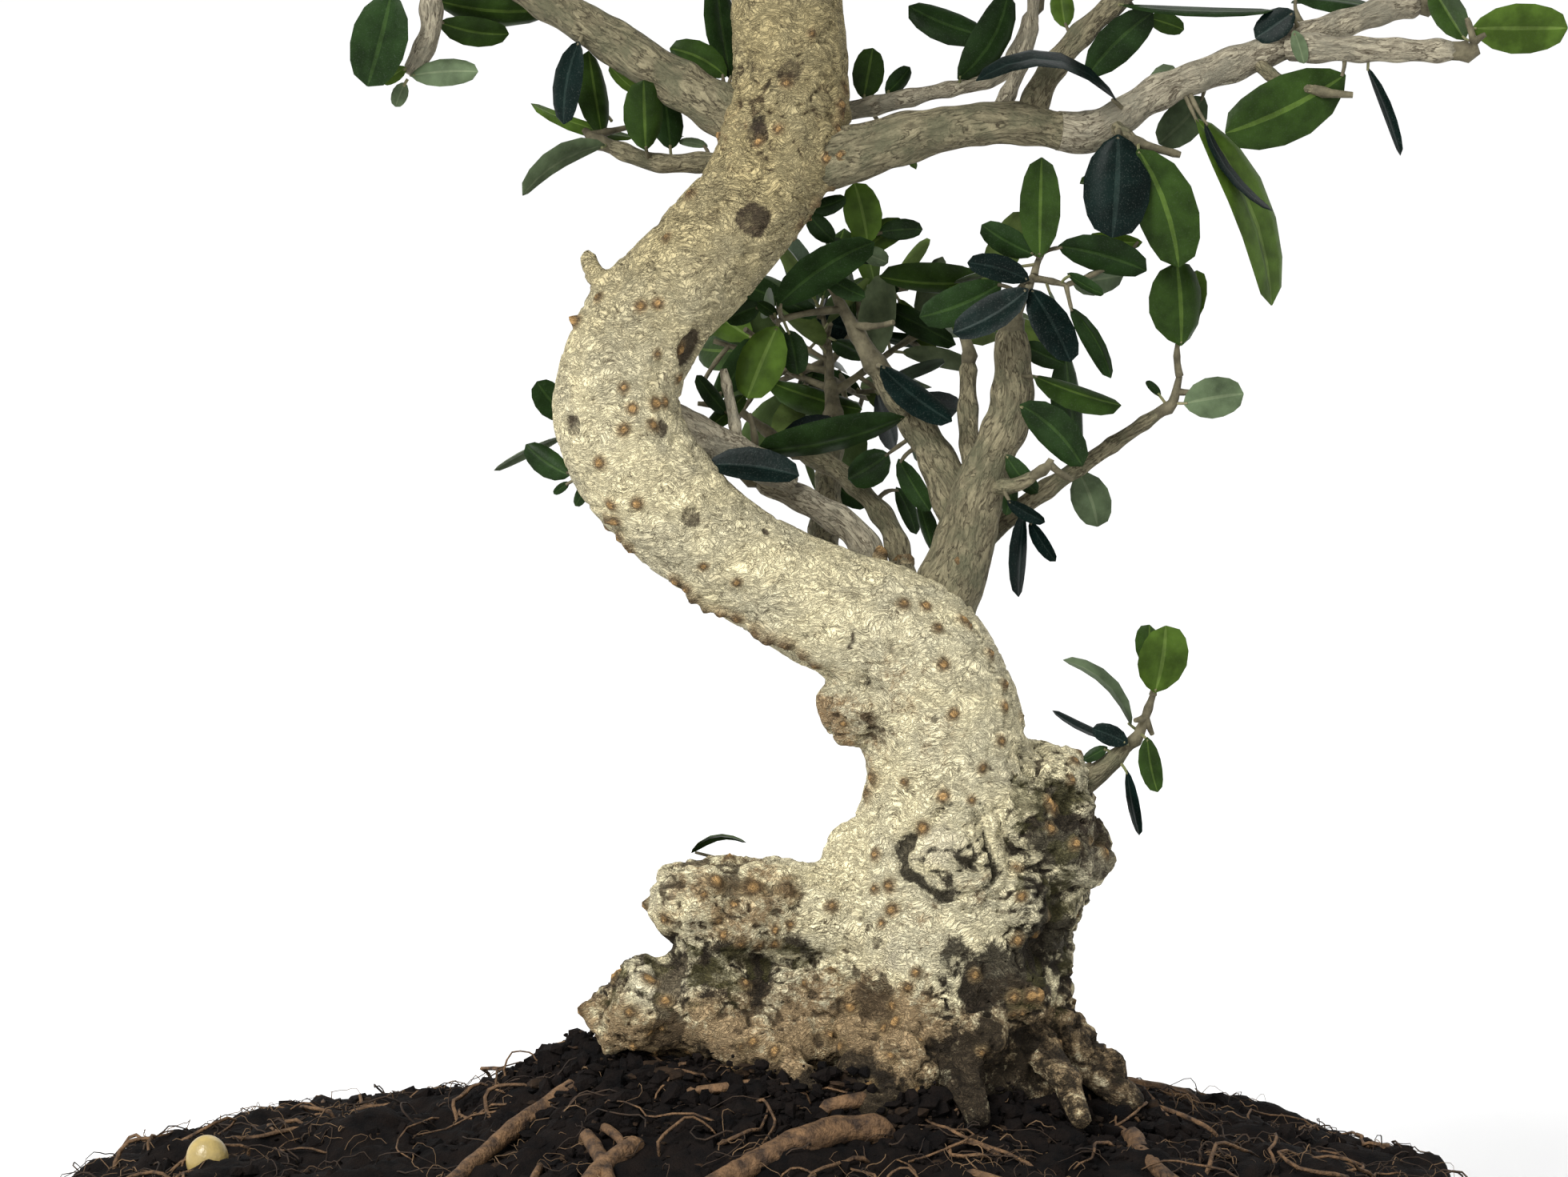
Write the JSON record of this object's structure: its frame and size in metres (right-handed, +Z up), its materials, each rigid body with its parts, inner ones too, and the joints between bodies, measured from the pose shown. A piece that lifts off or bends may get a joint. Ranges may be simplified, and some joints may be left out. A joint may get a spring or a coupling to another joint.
{
  "type": "wild olive bonsai tree",
  "caption": "Small trained olive tree with a gnarled, S-curved trunk, spreading boughs and full leafy crown, standing on its own soil root ball.",
  "frame": {"origin": "centre of the root ball's flat underside", "axes": "+Z up, +X towards the right of the tree's best side, -Y towards the viewer of that side"},
  "size_m": [0.2776, 0.2216, 0.3981],
  "materials": {
    "bark": "matt, knobbly, with lenticels",
    "bough_bark": "matt, fissured",
    "leaf": "leathery, faint sheen",
    "soil": "rough, damp crumb"
  },
  "bodies": {
    "root": {"trunk": "bark", "root_ball": "soil", "left_bough": "bough_bark", "low_left_bough": "bough_bark", "right_bough": "bough_bark", "right_limb": "bough_bark", "right_fork": "bough_bark", "pale_bough": "bough_bark", "rising_bough": "bough_bark", "low_bough": "bough_bark", "low_inner_bough": "bough_bark", "low_far_bough": "bough_bark", "low_creased_bough": "bough_bark", "low_shoot": "bough_bark", "low_right_bough": "bough_bark", "hanging_twig": "bough_bark", "right_spur": "bough_bark", "low_side_twig": "bough_bark", "bend_twig": "bough_bark", "low_back_bough": "bough_bark", "basal_shoot": "bough_bark", "upper_left_bough": "bough_bark", "upper_right_bough": "bough_bark", "upper_back_bough": "bough_bark", "upper_front_bough": "bough_bark", "shoulder_left_bough": "bough_bark", "shoulder_right_bough": "bough_bark", "leaves_left_far": "leaf", "leaves_left_low": "leaf", "leaves_right_hanging": "leaf", "leaves_right_under": "leaf", "leaves_right_tip": "leaf", "leaves_right_top": "leaf", "leaves_pale_bough": "leaf", "leaves_rising_bough": "leaf", "leaves_low_inner": "leaf", "leaves_low_front": "leaf", "leaves_low_shoot": "leaf", "leaves_low_far": "leaf", "leaves_low_creased": "leaf", "leaves_low_side": "leaf", "leaves_low_right": "leaf", "leaves_behind_bend": "leaf", "leaves_low_back": "leaf", "leaves_basal": "leaf", "leaves_upper_left": "leaf", "leaves_upper_right": "leaf", "leaves_upper_back": "leaf", "leaves_upper_front": "leaf", "leaves_shoulder_left": "leaf", "leaves_shoulder_right": "leaf", "leaves_top": "leaf"}
  },
  "joints": []
}
